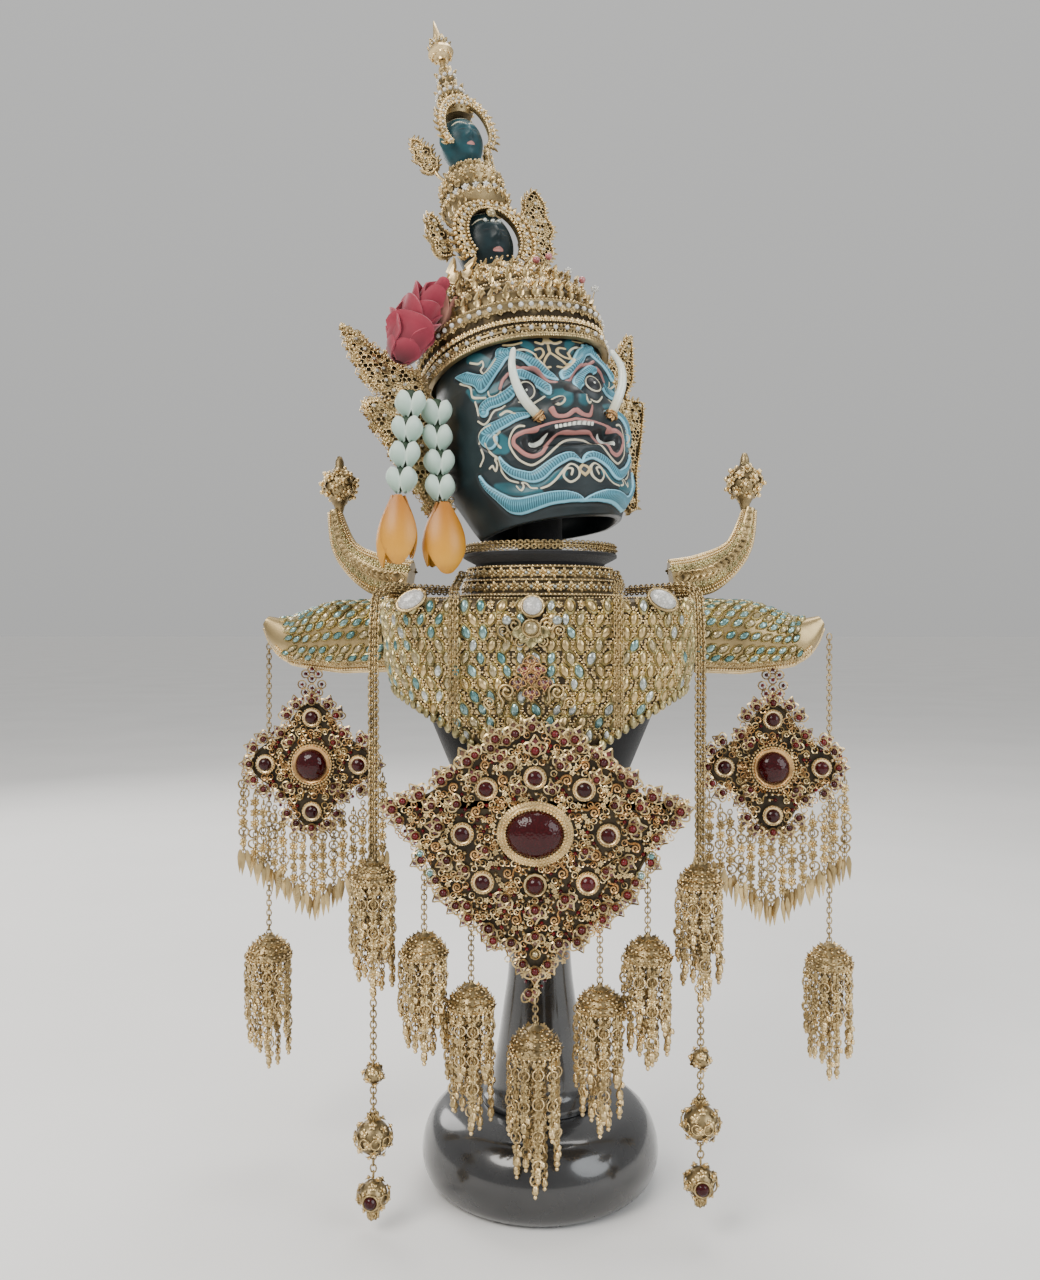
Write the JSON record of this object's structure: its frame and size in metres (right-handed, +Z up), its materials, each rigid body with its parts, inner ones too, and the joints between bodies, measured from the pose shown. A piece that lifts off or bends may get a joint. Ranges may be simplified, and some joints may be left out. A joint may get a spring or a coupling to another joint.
{
  "type": "khon mask on stand",
  "caption": "Hollow painted ogre dance mask with a tiered gilt crown and flower garland, shown on a black bust stand with a jewelled collar, shoulder wings, pendants and tassels.",
  "frame": {"origin": "middle of the flat underside of the turned foot", "axes": "+Z up, -Y the way the bust faces, +X to the viewer's right"},
  "size_m": [0.302, 0.1351, 0.6036],
  "materials": {
    "black_lacquer": "black gloss lacquer on turned wood",
    "black_velvet": "black velvet over a light bust form",
    "painted_papier": "lacquered papier-mache painted black, teal and light blue, satin",
    "shell_white": "polished ivory-white",
    "garnet_glass": "polished dark garnet cabochon",
    "rose_felt": "soft rose petals, matt",
    "flower_clay": "waxy pale-green crown flowers",
    "champak_clay": "satin orange champak petals",
    "gilt_lacquer": "gilded lacquer relief with small mirror stones, worn",
    "filigree_gilt": "gilt openwork wire and petals with dark red enamel",
    "gilt_brass": "antique gilt brass, stamped and set with small stones"
  },
  "bodies": {
    "root": {"mask_shell": "painted_papier", "tusk_left": "shell_white", "tusk_right": "shell_white", "crown_rim": "gilt_lacquer", "crown_body": "gilt_lacquer", "middle_head": "painted_papier", "middle_arch": "gilt_lacquer", "middle_crown": "gilt_lacquer", "crown_leaf_left": "gilt_lacquer", "crown_leaf_right": "gilt_lacquer", "upper_head": "painted_papier", "upper_halo": "gilt_lacquer", "upper_leaf_left": "gilt_lacquer", "upper_leaf_right": "gilt_lacquer", "crown_spire": "gilt_lacquer", "crown_finial": "gilt_lacquer", "ear_ornament_left": "gilt_lacquer", "ear_ornament_right": "gilt_lacquer", "stand_base": "black_lacquer", "stand_column": "black_lacquer", "bust_form": "black_velvet", "head_block": "black_velvet", "jewelled_collar": "gilt_brass", "collar_neckband": "gilt_brass", "neck_chain": "gilt_brass", "upper_wing_left": "gilt_brass", "lower_wing_left": "gilt_brass", "wing_knob_left": "gilt_brass", "upper_wing_right": "gilt_brass", "lower_wing_right": "gilt_brass", "wing_knob_right": "gilt_brass", "breast_pendant": "filigree_gilt", "breast_stone": "garnet_glass", "side_pendant_left": "filigree_gilt", "side_stone_left": "garnet_glass", "side_pendant_right": "filigree_gilt", "side_stone_right": "garnet_glass", "inner_chain_left": "gilt_brass", "outer_chain_left": "gilt_brass", "fine_chain_left": "gilt_brass", "inner_chain_right": "gilt_brass", "outer_chain_right": "gilt_brass", "fine_chain_right": "gilt_brass", "tassel_centre": "gilt_brass", "tassel_inner_left": "gilt_brass", "tassel_middle_left": "gilt_brass", "tassel_outer_left": "gilt_brass", "tassel_end_left": "gilt_brass", "chain_drop_left": "gilt_brass", "tassel_inner_right": "gilt_brass", "tassel_middle_right": "gilt_brass", "tassel_outer_right": "gilt_brass", "tassel_end_right": "gilt_brass", "chain_drop_right": "gilt_brass", "garland_rose": "rose_felt", "garland_string_left": "flower_clay", "champak_left": "champak_clay", "garland_string_right": "flower_clay", "champak_right": "champak_clay"}
  },
  "joints": []
}
